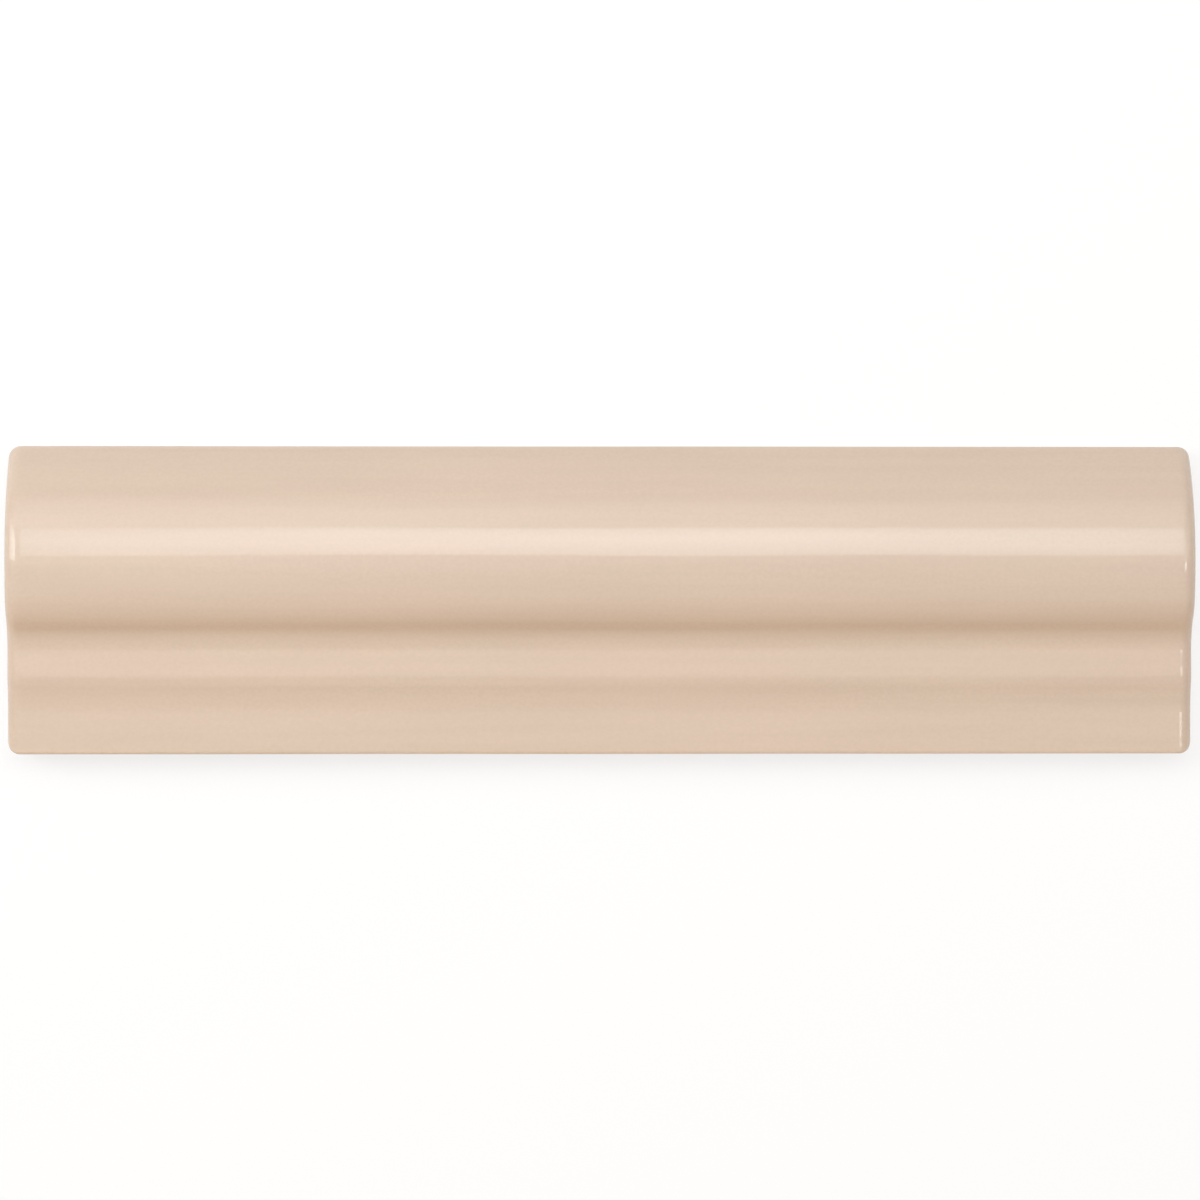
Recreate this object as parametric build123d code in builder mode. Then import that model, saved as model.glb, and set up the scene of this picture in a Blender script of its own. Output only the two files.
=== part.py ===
"""A glazed ceramic moulding tile: one pressed and fired piece with a bead, an ogee and a flat foot band.

It lies on its back, as it is stored: +X runs along the tile, +Y points from the foot edge to the head edge,
+Z out of the glazed front. The origin is the middle of the back's outline, on the plane that meets the wall.
"""

import os
from math import cos, radians, sin, tan

from build123d import *

# Driving dimensions, in millimetres and degrees
LENGTH = 200.0  # end to end, one module of the wall tiles beside it
WIDTH = 52.0  # foot edge to head edge
CREST_HEIGHT = 15.0  # the tile's greatest thickness, at the bead's crest

# Front section, from the foot edge up to the head edge: radii, and slopes above level
SWEEP_RADIUS = 13.0  # shallow hollow that lifts off the flat foot band
SWEEP_SLOPE = 19.0  # slope where the hollow ends
NOSE_RADIUS = 6.9  # soft nose that turns the hollow over on to the shelf
SHELF_RUN = 3.7  # width of the narrow shelf between nose and cove
SHELF_SLOPE = -1.0  # slope of the shelf, which dips a little towards the bead
COVE_RADIUS = 6.0  # cove at the foot of the bead
OGEE_RUN = 0.6  # width of the steepest part, between the cove and the bead
OGEE_SLOPE = 40.0  # slope of the steepest part
SHOULDER_RADIUS = 10.8  # bead, from the steepest part up to its flatter crown
CROWN_SLOPE = 8.0  # slope where the shoulder meets the crown
CROWN_RADIUS = 38.0  # bead, from the shoulder up to its crest
BACK_RADIUS = 28.0  # bead, from its crest down to the head edge
BACK_SLOPE = 44.0  # slope that falls to the head edge

# Softened edges; the foot edge and the head edge stay crisp
END_RADIUS = 2.2  # both ends, over the front and down the upright corners
BACK_CHAMFER = 0.5  # the rim of the back

# Keying grooves pressed into the back, which the adhesive grips
GROOVE_COUNT = 6
GROOVE_WIDTH = 4.5  # at the mouth
GROOVE_DEPTH = 1.2
GROOVE_TAPER = 20.0  # lean of the walls, so that the press lets go
RIB_WIDTH = 3.0  # between two grooves
END_RIM = 7.0  # plain back between a groove's end and the tile's end


def run(radius, low_slope, high_slope):
    """Width that an arc of this radius takes between two slopes."""
    return radius * (sin(radians(high_slope)) - sin(radians(low_slope)))


def rise(radius, low_slope, high_slope):
    """Height that an arc of this radius takes between two slopes."""
    return radius * (cos(radians(low_slope)) - cos(radians(high_slope)))


def tilt(width, slope):
    """Height that a straight run of this width takes at a slope."""
    return width * tan(radians(slope))


# The foot band takes the width and the height that the curves leave
CURVES_RUN = (
    run(SWEEP_RADIUS, 0, SWEEP_SLOPE)
    + run(NOSE_RADIUS, SHELF_SLOPE, SWEEP_SLOPE)
    + SHELF_RUN
    + run(COVE_RADIUS, SHELF_SLOPE, OGEE_SLOPE)
    + OGEE_RUN
    + run(SHOULDER_RADIUS, CROWN_SLOPE, OGEE_SLOPE)
    + run(CROWN_RADIUS, 0, CROWN_SLOPE)
    + run(BACK_RADIUS, 0, BACK_SLOPE)
)
CURVES_RISE = (
    rise(SWEEP_RADIUS, 0, SWEEP_SLOPE)
    + rise(NOSE_RADIUS, SHELF_SLOPE, SWEEP_SLOPE)
    + tilt(SHELF_RUN, SHELF_SLOPE)
    + rise(COVE_RADIUS, SHELF_SLOPE, OGEE_SLOPE)
    + tilt(OGEE_RUN, OGEE_SLOPE)
    + rise(SHOULDER_RADIUS, CROWN_SLOPE, OGEE_SLOPE)
    + rise(CROWN_RADIUS, 0, CROWN_SLOPE)
)
BAND_RUN = WIDTH - CURVES_RUN
BAND_HEIGHT = CREST_HEIGHT - CURVES_RISE
HALF_WIDTH = WIDTH / 2

# The tile: its section drawn across the wall, carried along the length, then softened and keyed
with BuildPart() as moulding_tile:
    with BuildSketch(Plane.YZ) as section:
        with BuildLine() as outline:
            band = Line((-HALF_WIDTH, BAND_HEIGHT), (-HALF_WIDTH + BAND_RUN, BAND_HEIGHT))
            sweep_up = JernArc(band @ 1, band % 1, SWEEP_RADIUS, SWEEP_SLOPE)
            nose = JernArc(sweep_up @ 1, sweep_up % 1, NOSE_RADIUS, SHELF_SLOPE - SWEEP_SLOPE)
            shelf = PolarLine(nose @ 1, SHELF_RUN, SHELF_SLOPE, length_mode=LengthMode.HORIZONTAL)
            cove = JernArc(shelf @ 1, shelf % 1, COVE_RADIUS, OGEE_SLOPE - SHELF_SLOPE)
            ogee = PolarLine(cove @ 1, OGEE_RUN, OGEE_SLOPE, length_mode=LengthMode.HORIZONTAL)
            shoulder = JernArc(ogee @ 1, ogee % 1, SHOULDER_RADIUS, CROWN_SLOPE - OGEE_SLOPE)
            crown = JernArc(shoulder @ 1, shoulder % 1, CROWN_RADIUS, -CROWN_SLOPE)
            bead_back = JernArc(crown @ 1, crown % 1, BACK_RADIUS, -BACK_SLOPE)
            Polyline(
                bead_back @ 1,
                (HALF_WIDTH, 0),
                (-HALF_WIDTH, 0),
                band @ 0,
            )
        make_face()
    extrude(amount=LENGTH / 2, both=True)

    end_edges = moulding_tile.faces().filter_by(Axis.X).edges()
    back_edges = end_edges.filter_by(Axis.Y).group_by(Axis.Z)[0]
    fillet(end_edges - back_edges, END_RADIUS)

    back = moulding_tile.faces().sort_by(Axis.Z)[0]
    chamfer(back.edges(), BACK_CHAMFER)
    with BuildSketch(Plane.XY) as grooves:
        with GridLocations(0, GROOVE_WIDTH + RIB_WIDTH, 1, GROOVE_COUNT):
            SlotOverall(LENGTH - 2 * END_RIM, GROOVE_WIDTH)
    extrude(amount=GROOVE_DEPTH, taper=GROOVE_TAPER, mode=Mode.SUBTRACT)

moulding_tile.part.label = "moulding_tile"

os.makedirs("parts", exist_ok=True)
export_step(moulding_tile.part, "parts/moulding_tile.step")
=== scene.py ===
"""Looks of a glazed ceramic moulding tile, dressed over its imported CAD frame.

The tile lies on its back on a pale floor: +X runs along it, +Y points from the foot band to the
head edge, and +Z out of the glazed front. Lengths are in metres, slopes in degrees above level, and
light in units where 1 is white.
"""

import logging
from collections.abc import Mapping
from dataclasses import dataclass, field
from enum import Enum
from typing import Any

import bpy
import numpy as np
from mathutils import Euler, Matrix, Vector


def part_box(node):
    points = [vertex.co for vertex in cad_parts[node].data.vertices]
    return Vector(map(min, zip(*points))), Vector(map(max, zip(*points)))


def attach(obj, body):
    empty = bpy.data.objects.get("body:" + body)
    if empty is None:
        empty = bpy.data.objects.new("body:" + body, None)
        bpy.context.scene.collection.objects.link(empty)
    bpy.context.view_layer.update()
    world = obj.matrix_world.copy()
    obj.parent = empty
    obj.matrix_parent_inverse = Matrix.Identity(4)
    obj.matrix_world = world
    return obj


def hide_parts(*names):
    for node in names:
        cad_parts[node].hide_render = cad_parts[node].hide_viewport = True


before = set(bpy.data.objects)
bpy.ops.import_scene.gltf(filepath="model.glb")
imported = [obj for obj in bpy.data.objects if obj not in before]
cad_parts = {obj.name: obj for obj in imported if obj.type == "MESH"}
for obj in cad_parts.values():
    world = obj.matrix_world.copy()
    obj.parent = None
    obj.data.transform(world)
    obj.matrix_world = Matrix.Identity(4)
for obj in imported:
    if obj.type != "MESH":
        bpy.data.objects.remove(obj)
log = logging.getLogger("moulding_tile")

MM = 0.001
NODE = "moulding_tile"
BODY = "root"
IMAGE_SIDE = 1200
HEADWARDS = (0.0, 1.0, 0.0)
DENSITY_STEPS = 4001

Colour = tuple[float, float, float, float]
Point = tuple[float, float, float]
Span = tuple[float, float]
Socket = bpy.types.NodeSocket


class Bend(Enum):
    """Which way a stretch of the section turns on its way from the foot edge to the head edge."""

    ROUND = -1.0
    STRAIGHT = 0.0
    HOLLOW = 1.0


def spread(density: np.ndarray, places: np.ndarray, count: int) -> np.ndarray:
    """Spread samples so that each step carries the same share of a density.

    The density is summed up along the places, and the sum is read backwards at equal steps.

    Args:
        density: How dense the samples lie at each place.
        places: Rising places that the density is given at.
        count: Number of samples.

    Returns:
        The samples' places, from the first place to the last.
    """
    steps = (density[1:] + density[:-1]) / 2 * np.diff(places)
    total = np.concatenate(([0.0], np.cumsum(steps)))
    return np.interp(np.linspace(0.0, total[-1], count), total, places)


def bell(distance: np.ndarray, width: float) -> np.ndarray:
    """Bell curve: 1 at no distance, falling as exp of minus the square of distance over width."""
    return np.exp(-np.square(distance / width))


def facing(place: Point, aim: Point, up: Point) -> Euler:
    """Turn a camera or a light, which looks along its own -Z, towards a point.

    Args:
        place: Where it stands.
        aim: The point it looks at.
        up: Direction that its own +Y leans to.

    Returns:
        The turn.
    """
    back = (Vector(place) - Vector(aim)).normalized()
    right = Vector(up).cross(back).normalized()
    return Matrix((right, back.cross(right), back)).transposed().to_euler()


@dataclass(frozen=True)
class Stretch:
    """One stretch of the front section: an arc, or a straight run.

    Attributes:
        bend: Which way it turns.
        size: An arc's radius, or a straight run's width.
        start: Slope where it starts.
        end: Slope where it ends.
        steps: Number of mesh steps along it.
    """

    bend: Bend
    size: float
    start: float
    end: float
    steps: int

    def walk(self) -> np.ndarray:
        """Trace the stretch from its start.

        A hollow of radius r moves by r (sin s - sin a) across and r (cos a - cos s) up as its slope
        goes from a to s, and a round moves by minus those. A straight run rises by its width times
        the tangent of its slope.

        Returns:
            One row a sample: place across, height, and slope in radians.
        """
        share = np.linspace(0.0, 1.0, self.steps + 1)
        slope = np.radians(self.start + (self.end - self.start) * share)
        if self.bend is Bend.STRAIGHT:
            across = self.size * share
            return np.column_stack((across, across * np.tan(slope), slope))
        reach = self.bend.value * self.size
        across = reach * (np.sin(slope) - np.sin(slope[0]))
        height = reach * (np.cos(slope[0]) - np.cos(slope))
        return np.column_stack((across, height, slope))


@dataclass(frozen=True)
class FrontSection:
    """The glazed front's section: foot band, hollow, nose, shelf, cove and bead, with soft rims."""

    width: float
    crest_height: float
    rim_radius: float = 0.5 * MM
    sweep_radius: float = 13.0 * MM
    sweep_slope: float = 19.0
    nose_radius: float = 6.9 * MM
    shelf_run: float = 3.7 * MM
    shelf_slope: float = -1.0
    cove_radius: float = 6.0 * MM
    ogee_run: float = 0.6 * MM
    ogee_slope: float = 40.0
    shoulder_radius: float = 10.8 * MM
    crown_slope: float = 8.0
    crown_radius: float = 38.0 * MM
    back_radius: float = 28.0 * MM
    back_slope: float = 44.0

    def stretches(self, inset: float) -> tuple[Stretch, ...]:
        """List the section's stretches from the foot edge to the head edge, drawn in by an inset.

        An inset makes hollows wider and rounds tighter about the same centres, and leaves the rims
        as they are. The band takes the width that the rest leaves. The head rim of radius r rolls
        off the bead's back of radius R where the sine of the slope is (run - r) / (R - r), with run
        the back's width up to the head edge.

        Args:
            inset: How far the section is drawn in along its normals.

        Returns:
            The stretches in order.
        """
        rim, nose = self.rim_radius, self.nose_radius - inset
        shoulder, crown = self.shoulder_radius - inset, self.crown_slope
        shelf, ogee = self.shelf_slope, self.ogee_slope
        rising = (
            Stretch(Bend.HOLLOW, self.sweep_radius + inset, 0.0, self.sweep_slope, steps=14),
            Stretch(Bend.ROUND, nose, self.sweep_slope, shelf, steps=12),
            Stretch(Bend.STRAIGHT, self.shelf_run, shelf, shelf, steps=8),
            Stretch(Bend.HOLLOW, self.cove_radius + inset, shelf, ogee, steps=20),
            Stretch(Bend.STRAIGHT, self.ogee_run, ogee, ogee, steps=3),
            Stretch(Bend.ROUND, shoulder, ogee, crown, steps=18),
            Stretch(Bend.ROUND, self.crown_radius - inset, crown, 0.0, steps=14),
        )
        rising_run = sum(float(stretch.walk()[-1, 0]) for stretch in rising)
        back_run = self.back_radius * np.sin(np.radians(self.back_slope)) - inset
        band_run = self.width - 2.0 * inset - rim - rising_run - back_run
        bead_back = self.back_radius - inset
        fall = float(np.degrees(np.arcsin((back_run - rim) / (bead_back - rim))))
        return (
            Stretch(Bend.ROUND, rim, 90.0, 0.0, steps=8),
            Stretch(Bend.STRAIGHT, band_run, 0.0, 0.0, steps=16),
            *rising,
            Stretch(Bend.ROUND, bead_back, 0.0, -fall, steps=40),
            Stretch(Bend.ROUND, rim, -fall, -90.0, steps=6),
        )

    def trace(self, inset: float = 0.0) -> np.ndarray:
        """Join the stretches end to end, each starting where the last one stops.

        The section is then moved so that its crest lies at its height and its foot edge at minus
        half the width, both drawn in by the inset.

        Args:
            inset: How far the section is drawn in along its normals.

        Returns:
            One row a sample: place across, height, and slope in radians.
        """
        rows = [np.array([[0.0, 0.0, np.pi / 2]])]
        for stretch in self.stretches(inset):
            moved = stretch.walk()[1:]
            moved[:, :2] += rows[-1][-1, :2]
            rows.append(moved)
        section = np.concatenate(rows)
        section[:, 0] -= self.width / 2 - inset
        section[:, 1] += self.crest_height - inset - section[:, 1].max()
        return section


@dataclass(frozen=True)
class KeyingGrooves:
    """Lengthwise grooves pressed into the back, with leaning walls and round ends."""

    count: int = 6
    mouth: float = 4.5 * MM
    depth: float = 1.2 * MM
    lean: float = 20.0
    rib: float = 3.0 * MM
    end_rim: float = 7.0 * MM

    def centres(self) -> np.ndarray:
        """Places of the grooves' middle lines across the back."""
        return (np.arange(self.count) - (self.count - 1) / 2) * (self.mouth + self.rib)

    def wall_run(self) -> float:
        """Width of a leaning wall: the depth times the tangent of its lean."""
        return self.depth * float(np.tan(np.radians(self.lean)))

    def height(self, x: np.ndarray, y: np.ndarray, length: float) -> np.ndarray:
        """Height of the back over its plane.

        Half the mouth less the distance to a groove's middle line, which stops short of the tile's
        ends, tells how far a place lies inside the groove. That share of the wall's run, eased at
        both ends, lifts the back to the depth.

        Args:
            x: Places along the tile.
            y: Places across it.
            length: The tile's length.

        Returns:
            The height at each place.
        """
        straight = length / 2 - self.end_rim - self.mouth / 2
        past = np.maximum(np.abs(x) - straight, 0.0)
        across = np.abs(y[..., None] - self.centres()).min(axis=-1)
        inside = (self.mouth / 2 - np.hypot(past, across)) / self.wall_run()
        share = np.clip(inside, 0.0, 1.0)
        return self.depth * share * share * (3.0 - 2.0 * share)


@dataclass(frozen=True)
class GlazeRelief:
    """Fine unevenness of the fired glaze: a slow waviness, and faint streaks along the tile."""

    seed: int = 11
    waves: int = 7
    wave_height: float = 0.006 * MM
    wave_length: Span = (45.0 * MM, 130.0 * MM)
    wave_run: Span = (14.0 * MM, 40.0 * MM)
    streaks: int = 14
    streak_height: float = 0.0007 * MM
    streak_run: Span = (1.3 * MM, 4.5 * MM)
    streak_drift: float = 90.0 * MM
    streak_sway: float = 0.15

    def sink(self, x: np.ndarray, run: np.ndarray) -> np.ndarray:
        """Depth of the unevenness below the true surface.

        Waves are sines of place along over a length plus place around the section over a run.
        Streaks are sines of the run alone, whose phase drifts slowly along the tile. The sum is
        shifted so that it never stands proud.

        Args:
            x: Places along the tile, as a column.
            run: Places around the section, as a row.

        Returns:
            Depths, all at least 0.
        """
        draw = np.random.default_rng(self.seed)
        turn = 2.0 * np.pi
        total = np.zeros(np.broadcast_shapes(x.shape, run.shape))
        for _ in range(self.waves):
            along = x / draw.uniform(*self.wave_length)
            around = run / draw.uniform(*self.wave_run) * draw.choice((-1.0, 1.0))
            total += self.wave_height * np.sin(turn * (along + around + draw.random()))
        for _ in range(self.streaks):
            drift = self.streak_sway * np.sin(turn * (x / self.streak_drift + draw.random()))
            around = run / draw.uniform(*self.streak_run)
            total += self.streak_height * np.sin(turn * (around + drift + draw.random()))
        return total.max() - total


class Graph:
    """A shader's node tree, with one short call that adds a node and joins it up."""

    def __init__(self, tree: bpy.types.NodeTree) -> None:
        """Start from the given tree, emptied."""
        tree.nodes.clear()
        self.tree = tree

    def add(
        self, kind: str, sockets: Mapping[str | int, Any] | None = None, **settings: Any
    ) -> bpy.types.Node:
        """Add a node.

        Args:
            kind: The node's type name.
            sockets: A value for each named or numbered input, or the output that feeds it.
            **settings: The node's own settings.

        Returns:
            The new node.
        """
        node = self.tree.nodes.new(kind)
        for name, value in settings.items():
            setattr(node, name, value)
        for key, value in (sockets or {}).items():
            if isinstance(value, Socket):
                self.tree.links.new(value, node.inputs[key])
            else:
                node.inputs[key].default_value = value
        return node

    def noise(self, place: Socket, scale: Point, detail: float) -> Socket:
        """Add noise on stretched coordinates.

        Args:
            place: The coordinates.
            scale: Features a metre along each axis.
            detail: Octaves of finer noise.

        Returns:
            The noise, from 0 to 1.
        """
        mapping = self.add("ShaderNodeMapping", {"Vector": place, "Scale": scale})
        sockets = {"Vector": mapping.outputs[0], "Scale": 1.0, "Detail": detail}
        return self.add("ShaderNodeTexNoise", sockets).outputs[0]

    def remap(self, value: Socket, source: Span, target: Span) -> Socket:
        """Add a clamped smooth change of a value from its source range to a target range."""
        sockets = {0: value, 1: source[0], 2: source[1], 3: target[0], 4: target[1]}
        return self.add("ShaderNodeMapRange", sockets, interpolation_type="SMOOTHSTEP").outputs[0]

    def math(self, operation: str, first: Any, second: Any) -> Socket:
        """Add arithmetic on two values, each a number or an output."""
        return self.add("ShaderNodeMath", {0: first, 1: second}, operation=operation).outputs[0]

    def mix(self, share: Any, first: Any, second: Any, blend: str = "MIX") -> Socket:
        """Add a mix of two colours, the share being how much of the second one shows."""
        sockets = {0: share, 6: first, 7: second}
        return self.add("ShaderNodeMix", sockets, data_type="RGBA", blend_type=blend).outputs[2]


@dataclass(frozen=True)
class Mottle:
    """A noise that varies a finish from place to place.

    Attributes:
        scale: Features a metre along each axis.
        detail: Octaves of finer noise.
        values: The value where the noise is weak, and where it is strong.
        cut: Noise levels between which the value changes.
    """

    scale: Point
    detail: float
    values: Span
    cut: Span = (0.3, 0.7)

    def on(self, graph: Graph, place: Socket) -> Socket:
        """Add the noise to a shader at the given coordinates, and give its varied value."""
        return graph.remap(graph.noise(place, self.scale, self.detail), self.cut, self.values)


@dataclass(frozen=True)
class BeigeGlaze:
    """Glossy pinkish-beige glaze over a pale biscuit body that stays bare on the back."""

    beige: Colour = (0.654, 0.533, 0.426, 1.0)
    pink: Colour = (0.659, 0.527, 0.427, 1.0)
    thin: Colour = (0.745, 0.56, 0.415, 1.0)
    # painted shade: a darker, warmer beige that stands in for the shade on the steep slopes
    painted_shade_colour: Colour = (0.650, 0.496, 0.368, 1.0)
    biscuit: Colour = (0.80, 0.74, 0.66, 1.0)
    grog: Colour = (0.52, 0.40, 0.30, 1.0)
    clouds: Mottle = Mottle((18.0, 140.0, 140.0), 3.0, (0.0, 1.0), (0.35, 0.65))
    patches: Mottle = Mottle((120.0, 500.0, 500.0), 2.0, (0.45, 1.0))
    streaks: Mottle = Mottle((20.0, 560.0, 560.0), 2.0, (0.975, 1.0))
    drift: Mottle = Mottle((26.0, 90.0, 90.0), 2.0, (0.98, 1.0))
    grain: Mottle = Mottle((1500.0, 1900.0, 1900.0), 1.0, (0.97, 1.0))
    specks: Mottle = Mottle((2600.0, 2600.0, 2600.0), 2.0, (0.0, 0.35), (0.62, 0.74))
    roughness: Mottle = Mottle((60.0, 160.0, 160.0), 2.0, (0.055, 0.085))
    biscuit_roughness: float = 0.88
    index: float = 1.5
    glaze_line: float = 1.9 * MM
    line_sway: Mottle = Mottle((90.0, 90.0, 40.0), 3.0, (-0.8 * MM, 0.8 * MM), (0.2, 0.8))
    line_blend: float = 0.35 * MM
    peel_scale: Point = (420.0, 420.0, 420.0)
    peel_detail: float = 1.0
    peel_height: float = 0.02
    sand_scale: Point = (3200.0, 3200.0, 3200.0)
    sand_detail: float = 2.0
    sand_height: float = 0.5
    bump_strength: float = 0.5
    bump_distance: float = 0.1 * MM

    def material(self) -> bpy.types.Material:
        """Make the finish.

        Returns:
            The material.
        """
        material = bpy.data.materials.new("beige_glaze")
        material.use_nodes = True
        graph = Graph(material.node_tree)
        place = graph.add("ShaderNodeTexCoord").outputs["Object"]
        bare = self._bare(graph, place)
        glaze = self._glaze_colour(graph, place)
        colour = graph.mix(bare, glaze, self._biscuit_colour(graph, place))
        sockets = {0: bare, 2: self.roughness.on(graph, place), 3: self.biscuit_roughness}
        rough = graph.add("ShaderNodeMix", sockets).outputs[0]
        normal = self._bump(graph, place, bare)
        sockets = {"Base Color": colour, "Roughness": rough, "IOR": self.index, "Normal": normal}
        shader = graph.add("ShaderNodeBsdfPrincipled", sockets)
        graph.add("ShaderNodeOutputMaterial", {"Surface": shader.outputs[0]})
        return material

    def _bare(self, graph: Graph, place: Socket) -> Socket:
        """Add the share of bare body.

        It is 1 on the back and below an uneven glaze line on the sides, and 0 above that line.

        Args:
            graph: The shader's nodes.
            place: The coordinates.

        Returns:
            The share.
        """
        height = graph.add("ShaderNodeSeparateXYZ", {0: place}).outputs[2]
        over = graph.math("ADD", height, self.line_sway.on(graph, place))
        low = graph.remap(over, (self.glaze_line, self.glaze_line + self.line_blend), (1.0, 0.0))
        back = graph.add("ShaderNodeAttribute", attribute_name=MouldingTile.BACK).outputs["Fac"]
        return graph.math("MAXIMUM", low, back)

    def _glaze_colour(self, graph: Graph, place: Socket) -> Socket:
        """Add the glaze's colour.

        It has soft clouds, faint streaks and a fine grain, is darker and warmer with painted shade
        on the steep slopes and low on the foot side, and warmer where it runs thin over the rims.

        Args:
            graph: The shader's nodes.
            place: The coordinates.

        Returns:
            The colour.
        """
        colour = graph.mix(self.clouds.on(graph, place), self.beige, self.pink)
        # painted shade: the share of darker, warmer beige on the slopes that face the foot side
        shade_share = graph.add("ShaderNodeAttribute", attribute_name=MouldingTile.PAINTED_SHADE).outputs["Fac"]
        colour = graph.mix(shade_share, colour, self.painted_shade_colour)
        thin = graph.add("ShaderNodeAttribute", attribute_name=MouldingTile.THIN).outputs["Fac"]
        patchy = graph.math("MULTIPLY", thin, self.patches.on(graph, place))
        colour = graph.mix(patchy, colour, self.thin)
        level = graph.math("MULTIPLY", self.streaks.on(graph, place), self.drift.on(graph, place))
        level = graph.math("MULTIPLY", level, self.grain.on(graph, place))
        shade = graph.add("ShaderNodeCombineColor", dict.fromkeys(range(3), level))
        return graph.mix(1.0, colour, shade.outputs[0], "MULTIPLY")

    def _biscuit_colour(self, graph: Graph, place: Socket) -> Socket:
        """Add the bare body's colour, which is chalky with fine grog specks."""
        return graph.mix(self.specks.on(graph, place), self.biscuit, self.grog)

    def _bump(self, graph: Graph, place: Socket, bare: Socket) -> Socket:
        """Add the fine surface: a faint orange peel on the glaze, a sandy grain on the bare body.

        Args:
            graph: The shader's nodes.
            place: The coordinates.
            bare: Share of bare body.

        Returns:
            The bumped normal.
        """
        peel = graph.noise(place, self.peel_scale, self.peel_detail)
        peel = graph.math("MULTIPLY", peel, self.peel_height)
        sand = graph.noise(place, self.sand_scale, self.sand_detail)
        sand = graph.math("MULTIPLY", sand, self.sand_height)
        relief = graph.add("ShaderNodeMix", {0: bare, 2: peel, 3: sand}).outputs[0]
        sockets = {"Strength": self.bump_strength, "Distance": self.bump_distance, "Height": relief}
        return graph.add("ShaderNodeBump", sockets).outputs[0]


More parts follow.
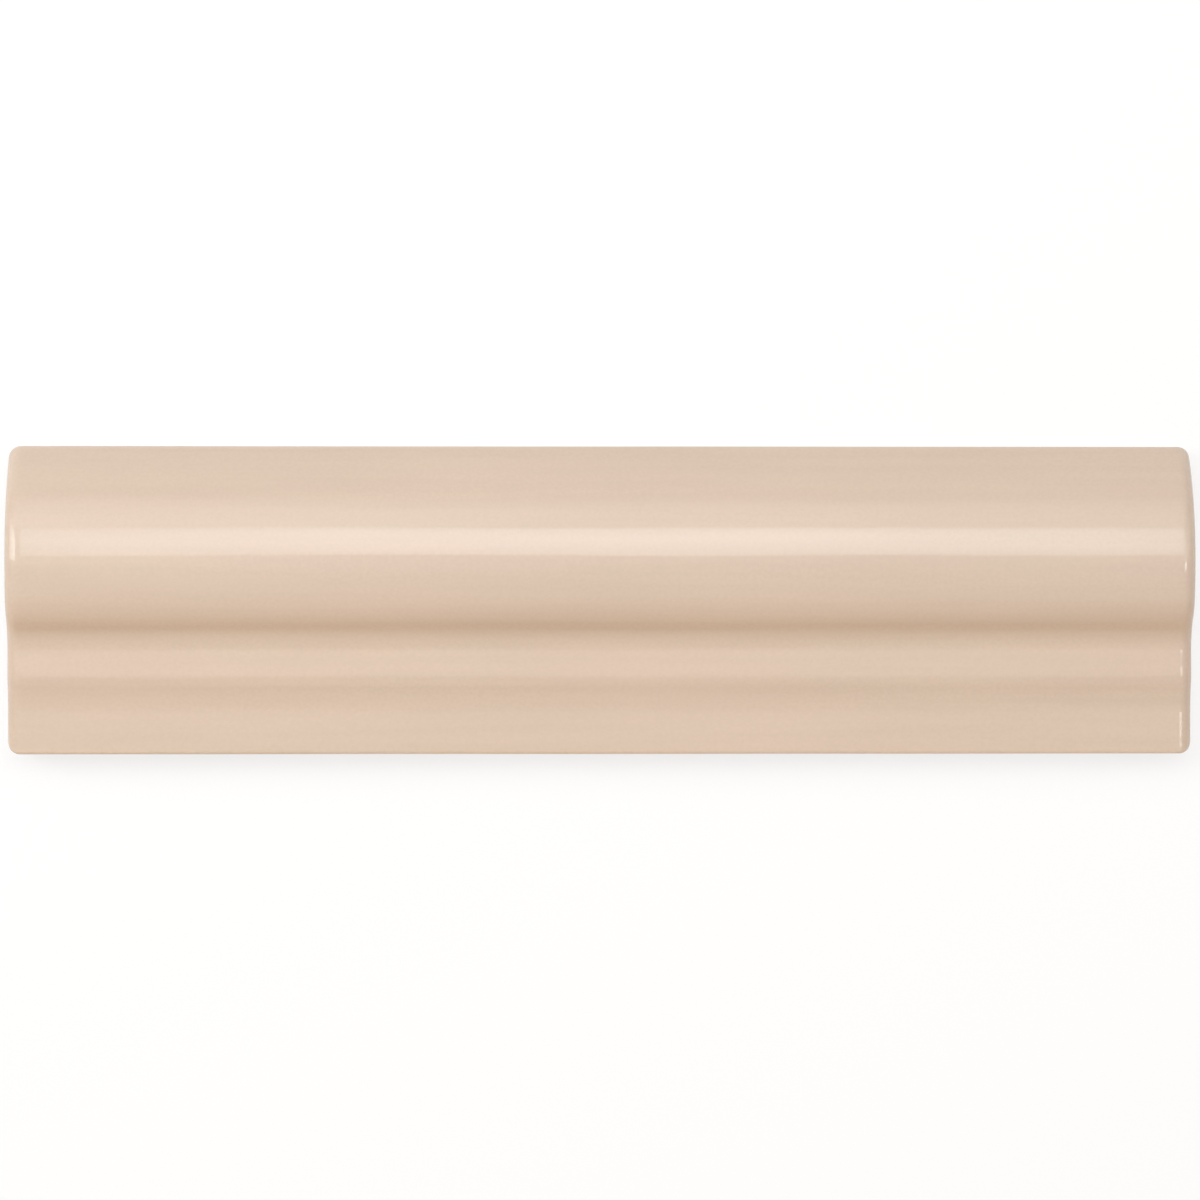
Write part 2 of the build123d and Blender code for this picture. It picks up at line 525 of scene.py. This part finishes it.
@dataclass
class MouldingTile:
    """The tile: its front section carried along the length, round at both ends, on a keyed back."""

    THIN = "thin_glaze"
    # painted shade: names the share of darker, warmer glaze on the steep slopes
    PAINTED_SHADE = "painted_shade_mask"
    BACK = "bare_back"

    length: float
    section: FrontSection
    grooves: KeyingGrooves = field(default_factory=KeyingGrooves)
    relief: GlazeRelief = field(default_factory=GlazeRelief)
    end_radius: float = 2.2 * MM
    back_chamfer: float = 0.5 * MM
    end_steps: int = 11
    stations: int = 236
    side_steps: int = 9
    thin_reach: float = 0.4 * MM
    head_thin: float = 0.1
    # the painted shade also darkens the foot side, by a share that grows with the drop below the
    # crest
    darkening_drop: float = 5.0 * MM
    low_darkening_share: float = 0.2
    groove_end_density: float = 3.0
    groove_end_reach: float = 2.5 * MM
    wall_density: float = 6.0
    wall_reach: float = 0.35 * MM
    slope_margin: float = 0.1
    crease: float = 32.0

    def lengthwise(self) -> tuple[np.ndarray, np.ndarray]:
        """Spread mesh stations along the tile.

        Between the rounded ends the density is 1 plus a bell of the distance to the nearest end of
        the grooves. Over an end of radius r that has turned by t, a station lies r sin t past where
        the rounding starts.

        Returns:
            Each station's place, and how far it has turned into an end, in radians.
        """
        flat = self.length / 2 - self.end_radius
        places = np.linspace(-flat, flat, DENSITY_STEPS)
        groove_end = self.length / 2 - self.grooves.end_rim - self.grooves.mouth / 4
        near_end = bell(np.abs(places) - groove_end, self.groove_end_reach)
        inner = spread(1.0 + self.groove_end_density * near_end, places, self.stations)
        turn = np.linspace(0.0, np.pi / 2, self.end_steps + 1)[1:]
        end = flat + self.end_radius * np.sin(turn)
        x = np.concatenate((-end[::-1], inner, end))
        return x, np.concatenate((turn[::-1], np.zeros_like(inner), turn))

    def crosswise_back(self, count: int) -> np.ndarray:
        """Spread mesh lines across the back.

        The density is 1 plus a bell of the distance to the middle of the nearest groove wall.

        Args:
            count: Number of lines.

        Returns:
            Their places, from the foot edge to the head edge.
        """
        half = self.section.width / 2 - self.back_chamfer
        places = np.linspace(-half, half, DENSITY_STEPS)
        wall = self.grooves.mouth / 2 - self.grooves.wall_run() / 2
        offset = np.abs(np.abs(places[:, None] - self.grooves.centres()) - wall).min(axis=1)
        return spread(1.0 + self.wall_density * bell(offset, self.wall_reach), places, count)

    def loops(self) -> tuple[np.ndarray, dict[str, np.ndarray]]:
        """Carry the closed section along the tile.

        At a station that has turned by t into an end of radius r, the front and the sides draw in
        by r (1 - cos t) along their normals. The glaze relief sinks the front along the same
        normals. The back rises by as much as a station lies past the start of its chamfer.

        Returns:
            Points by station and place around the loop, and each named share at those points.
        """
        x, turn = self.lengthwise()
        inset = (self.end_radius * (1.0 - np.cos(turn)))[:, None]
        sections = np.stack([self.section.trace(float(step)) for step in inset[:, 0]])
        y, z, slope = sections.transpose(2, 0, 1)
        middle = len(x) // 2
        steps = np.hypot(np.diff(y[middle]), np.diff(z[middle]))
        run = np.concatenate(([0.0], np.cumsum(steps)))
        drop = self.relief.sink(x[:, None], run[None, :])
        front_y = y + drop * np.sin(slope)
        front_z = z - drop * np.cos(slope)
        columns = len(run)

        half, chamfer = self.section.width / 2, self.back_chamfer
        share = np.arange(1, self.side_steps) / (self.side_steps - 1)
        head_z = front_z[:, -1:] + (chamfer - front_z[:, -1:]) * share
        foot_z = front_z[:, :1] + (chamfer - front_z[:, :1]) * share
        side_y = np.broadcast_to(half - inset, head_z.shape)

        back = self.crosswise_back(columns)
        back_y = back * (half - chamfer - inset) / (half - chamfer)
        lift = np.maximum(np.abs(x) - (self.length / 2 - chamfer), 0.0)[:, None]
        back_z = lift + self.grooves.height(x[:, None], back_y, self.length)

        loop_y = np.hstack((front_y, side_y, back_y[:, ::-1], -side_y))
        loop_z = np.hstack((front_z, head_z, back_z[:, ::-1], foot_z[:, ::-1]))
        loop_x = np.broadcast_to(x[:, None], loop_y.shape)

        head_side = self.head_thin * bell(front_z[:, -1:] - head_z, self.thin_reach)
        foot_side = bell(front_z[:, :1] - foot_z, self.thin_reach)[:, ::-1]
        thin_front = np.broadcast_to(self.thin_glaze(run), y.shape)
        # painted shade on the steep slopes, kept off the thin rims
        painted_shade_front = self.painted_shade_mask(z, slope) * (1.0 - thin_front)
        plain, bare = np.zeros_like(back_y), np.ones_like(back_y)
        clear_side, clear_front = np.zeros_like(side_y), np.zeros_like(y)
        shares = {
            self.THIN: np.hstack((thin_front, head_side, plain, foot_side)),
            self.PAINTED_SHADE: np.hstack((painted_shade_front, clear_side, plain, clear_side)),
            self.BACK: np.hstack((clear_front, clear_side, bare, clear_side)),
        }
        return np.stack((loop_x, loop_y, loop_z), axis=-1), shares

    def thin_glaze(self, run: np.ndarray) -> np.ndarray:
        """Share of thin glaze over the front.

        It is a bell of the distance past the middle of the foot rim, plus a weaker one at the head.

        Args:
            run: Places around the section.

        Returns:
            The share at each place.
        """
        past_foot = np.maximum(run - self.section.rim_radius / 2, 0.0)
        past_head = np.maximum(run[-1] - run - self.section.rim_radius / 2, 0.0)
        return bell(past_foot, self.thin_reach) + self.head_thin * bell(past_head, self.thin_reach)

    def painted_shade_mask(self, z: np.ndarray, slope: np.ndarray) -> np.ndarray:
        """Share of painted shade over the front, on the slopes that face the foot side.

        It is the square of the slope's sine over the steepest sine. On the foot side of the crest
        it is no less than a small share that grows with the drop below the crest.

        Args:
            z: Heights of the front.
            slope: Its slopes in radians.

        Returns:
            The share at each place.
        """
        steepness = np.sin(slope) / np.sin(np.radians(self.section.ogee_slope))
        drop = np.clip((self.section.crest_height - z) / self.darkening_drop, 0.0, 1.0)
        footside = slope > np.radians(self.section.shelf_slope - self.slope_margin)
        return np.maximum(np.clip(steepness, 0.0, 1.0) ** 2, self.low_darkening_share * drop * footside)

    def end_cap(
        self, points: np.ndarray, station: int, first: int
    ) -> tuple[np.ndarray, np.ndarray]:
        """Close an end with a flat grid.

        Each row lies an equal share further along straight lines from the front's points down to
        the back's.

        Args:
            points: The loops' points.
            station: The end's station, the first or the last.
            first: Index of the first new vertex.

        Returns:
            The new points inside the grid, and its faces.
        """
        columns, rows = len(self.section.trace()), self.side_steps
        loop = np.arange(points.shape[1]) + (station % len(points)) * points.shape[1]
        front, head, back, foot = np.split(loop, np.cumsum((columns, rows - 1, columns)))
        share = (np.arange(1, rows) / rows)[:, None, None]
        flat = points.reshape(-1, 3)
        top, bottom = flat[front[1:-1]], flat[back[-2:0:-1]]
        inside = (top + (bottom - top) * share).reshape(-1, 3)
        grid = np.empty((rows + 1, columns), dtype=int)
        grid[0], grid[-1] = front, back[::-1]
        grid[1:-1, 0], grid[1:-1, -1] = foot[::-1], head
        grid[1:-1, 1:-1] = first + np.arange(len(inside)).reshape(rows - 1, columns - 2)
        corners = [grid[:-1, :-1], grid[:-1, 1:], grid[1:, 1:], grid[1:, :-1]]
        faces = np.stack(corners if station == 0 else corners[::-1], axis=-1)
        return inside, faces.reshape(-1, 4)

    def build(self) -> bpy.types.Object:
        """Make the tile's closed mesh: four-sided faces from loop to loop, and a cap at each end.

        Returns:
            The tile's object, at the origin.
        """
        points, shares = self.loops()
        index = np.arange(points.shape[0] * points.shape[1]).reshape(points.shape[:2])
        beside = np.roll(index, -1, axis=1)
        skin = np.stack((index[:-1], index[1:], beside[1:], beside[:-1]), axis=-1).reshape(-1, 4)
        left, left_faces = self.end_cap(points, 0, index.size)
        right, right_faces = self.end_cap(points, -1, index.size + len(left))
        vertices = np.concatenate((points.reshape(-1, 3), left, right))
        faces = np.concatenate((skin, left_faces, right_faces))

        mesh = bpy.data.meshes.new("glazed_moulding_tile")
        mesh.from_pydata(vertices.tolist(), [], faces.tolist())
        caps = np.zeros(len(left) + len(right))
        for name, values in shares.items():
            layer = mesh.attributes.new(name, "FLOAT", "POINT")
            flat = np.concatenate((values.ravel(), caps)).astype(np.float32)
            layer.data.foreach_set("value", flat)
        mesh.shade_smooth()
        mesh.set_sharp_from_angle(angle=np.radians(self.crease))
        mesh.validate()
        tile = bpy.data.objects.new("glazed_moulding_tile", mesh)
        bpy.context.scene.collection.objects.link(tile)
        return tile

    def dress(self, tile: bpy.types.Object, finish: BeigeGlaze) -> None:
        """Give the tile its finish, and put it in place of the CAD node.

        Args:
            tile: The tile's object.
            finish: The glaze.
        """
        tile.data.materials.append(finish.material())
        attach(tile, BODY)
        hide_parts(NODE)


@dataclass(frozen=True)
class Softbox:
    """A rectangular studio light.

    Attributes:
        name: What it is called.
        centre: Where its middle hangs.
        aim: The point it looks at.
        size: Its two sides.
        radiance: Its brightness at the hot spot, where 1 is white.
        rim_share: Share of the brightness that is left at a half side's distance from the hot spot.
        hot_spot: Where the first side is brightest, from -1 at its start to 1 at its end.
    """

    name: str
    centre: Point
    aim: Point
    size: Span
    radiance: float
    rim_share: Span = (1.0, 1.0)
    hot_spot: float = 0.0

    def place(self) -> bpy.types.Object:
        """Hang the light, its power being radiance times area times pi.

        Returns:
            The light's object.
        """
        lamp = bpy.data.lights.new(self.name, "AREA")
        lamp.shape = "RECTANGLE"
        lamp.size, lamp.size_y = self.size
        lamp.energy = self.radiance * self.size[0] * self.size[1] * np.pi
        if min(self.rim_share) < 1.0:
            self._fade(lamp)
        light = bpy.data.objects.new(self.name, lamp)
        light.location = self.centre
        light.rotation_euler = facing(self.centre, self.aim, HEADWARDS)
        bpy.context.scene.collection.objects.link(light)
        return light

    def _fade(self, lamp: bpy.types.Light) -> None:
        """Fade the light from its hot spot by the square of the distance along each side.

        Args:
            lamp: The light's data.
        """
        lamp.use_nodes = True
        graph = Graph(lamp.node_tree)
        place = graph.add("ShaderNodeNewGeometry").outputs["Parametric"]
        parts = graph.add("ShaderNodeSeparateXYZ", {0: place})
        fades = []
        for part, rim, spot in zip(parts.outputs[:2], self.rim_share, (self.hot_spot, 0.0)):
            away = graph.math("SUBTRACT", graph.math("MULTIPLY", part, 2.0), 1.0 + spot)
            loss = graph.math("MULTIPLY", graph.math("MULTIPLY", away, away), 1.0 - rim)
            fades.append(graph.math("MAXIMUM", graph.math("SUBTRACT", 1.0, loss), 0.0))
        glow = graph.add("ShaderNodeEmission", {"Strength": graph.math("MULTIPLY", *fades)})
        graph.add("ShaderNodeOutputLight", {"Surface": glow.outputs[0]})


@dataclass(frozen=True)
class Studio:
    """A pale floor, soft lights and a camera that looks almost straight down on the tile."""

    foot_fill: Colour = (0.555, 0.475, 0.415, 1.0)
    head_fill: Colour = (0.36, 0.365, 0.37, 1.0)
    floor_colour: Colour = (0.92, 0.92, 0.92, 1.0)
    floor_side: float = 12.0
    floor_drop: float = 0.05 * MM
    floor_glow: float = 0.72
    camera_place: Point = (-0.017, 0.0, 0.75)
    camera_aim: Point = (0.0, 0.0, 0.0075)
    lens: float = 131.8
    sensor: float = 36.0
    clip: Span = (0.01, 50.0)
    shift_pixels: Span = (-1.0, 0.0)
    lights: tuple[Softbox, ...] = (
        Softbox(
            name="main_softbox",
            centre=(0.155, 0.199, 0.75),
            aim=(0.155, 0.199, 0.0),
            size=(0.69, 0.268),
            radiance=3.1,
            rim_share=(0.0, 0.6),
            hot_spot=-0.33,
        ),
        Softbox(
            name="overhead_scrim",
            centre=(0.0, 0.54, 1.2),
            aim=(0.0, 0.54, 0.0),
            size=(2.4, 1.5),
            radiance=1.6,
            rim_share=(0.0, 0.0),
            hot_spot=-0.3,
        ),
        Softbox(
            name="left_panel",
            centre=(-0.465, 0.12, 0.39),
            aim=(-0.008, 0.12, 0.1875),
            size=(0.766, 0.2),
            radiance=4.5,
            rim_share=(0.35, 1.0),
            hot_spot=0.38,
        ),
        Softbox(
            name="right_panel",
            centre=(0.465, 0.12, 0.39),
            aim=(0.008, 0.12, 0.1875),
            size=(0.766, 0.2),
            radiance=0.9,
            rim_share=(0.35, 1.0),
            hot_spot=-0.38,
        ),
        Softbox(
            name="right_strip",
            centre=(0.42, -0.0255, 0.75),
            aim=(0.42, -0.0255, 0.0),
            size=(0.26, 0.064),
            radiance=5.0,
        ),
    )

    def build(self) -> None:
        """Set up the view, the floor, the lights and the camera."""
        bpy.context.scene.view_settings.view_transform = "Standard"
        self._floor()
        self._world()
        for light in self.lights:
            light.place()
        self._camera()

    def _floor(self) -> None:
        """Lay the floor, a pale square.

        It glows a little for the camera and in reflections, which brings it near to white, and it
        throws no more light on the tile.
        """
        half = self.floor_side / 2
        corners = np.array([(-1, -1, 0), (1, -1, 0), (1, 1, 0), (-1, 1, 0)]) * half
        corners[:, 2] = -self.floor_drop
        mesh = bpy.data.meshes.new("floor")
        mesh.from_pydata(corners.tolist(), [], [(0, 1, 2, 3)])
        material = bpy.data.materials.new("pale_floor")
        material.use_nodes = True
        graph = Graph(material.node_tree)
        path = graph.add("ShaderNodeLightPath").outputs
        seen = graph.math("MAXIMUM", path["Is Camera Ray"], path["Is Glossy Ray"])
        seen = graph.math("MAXIMUM", seen, path["Is Transmission Ray"])
        paint = graph.add("ShaderNodeBsdfDiffuse", {"Color": self.floor_colour})
        glow = graph.add("ShaderNodeEmission", {"Strength": 1.0})
        share = graph.math("MULTIPLY", seen, self.floor_glow)
        sockets = {0: share, 1: paint.outputs[0], 2: glow.outputs[0]}
        shader = graph.add("ShaderNodeMixShader", sockets)
        graph.add("ShaderNodeOutputMaterial", {"Surface": shader.outputs[0]})
        mesh.materials.append(material)
        floor = bpy.data.objects.new("floor", mesh)
        bpy.context.scene.collection.objects.link(floor)

    def _world(self) -> None:
        """Fill the room with light, warm on the tile's foot side and cool on its head side."""
        world = bpy.data.worlds.new("room")
        world.use_nodes = True
        graph = Graph(world.node_tree)
        direction = graph.add("ShaderNodeTexCoord").outputs["Generated"]
        headwards = graph.add("ShaderNodeSeparateXYZ", {0: direction}).outputs[1]
        share = graph.remap(headwards, (-1.0, 1.0), (0.0, 1.0))
        fill = graph.mix(share, self.foot_fill, self.head_fill)
        room = graph.add("ShaderNodeBackground", {"Color": fill})
        graph.add("ShaderNodeOutputWorld", {"Surface": room.outputs[0]})
        bpy.context.scene.world = world

    def _camera(self) -> None:
        """Place the camera over the tile, with the tile's head edge up."""
        lens = bpy.data.cameras.new("camera")
        lens.lens, lens.sensor_width = self.lens, self.sensor
        lens.shift_x, lens.shift_y = (pixels / IMAGE_SIDE for pixels in self.shift_pixels)
        lens.clip_start, lens.clip_end = self.clip
        camera = bpy.data.objects.new("camera", lens)
        camera.location = self.camera_place
        camera.rotation_euler = facing(self.camera_place, self.camera_aim, HEADWARDS)
        bpy.context.scene.collection.objects.link(camera)
        bpy.context.scene.camera = camera


def main() -> None:
    """Build the tile and the studio around it."""
    logging.basicConfig(level=logging.INFO)
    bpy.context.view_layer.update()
    low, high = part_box(NODE)
    size = high - low
    tile = MouldingTile(size.x, FrontSection(size.y, size.z))
    piece = tile.build()
    tile.dress(piece, BeigeGlaze())
    log.info("%s: %d faces", piece.name, len(piece.data.polygons))
    studio = Studio()
    studio.build()
    log.info("studio: %d lights", len(studio.lights))


if __name__ == "__main__":
    main()
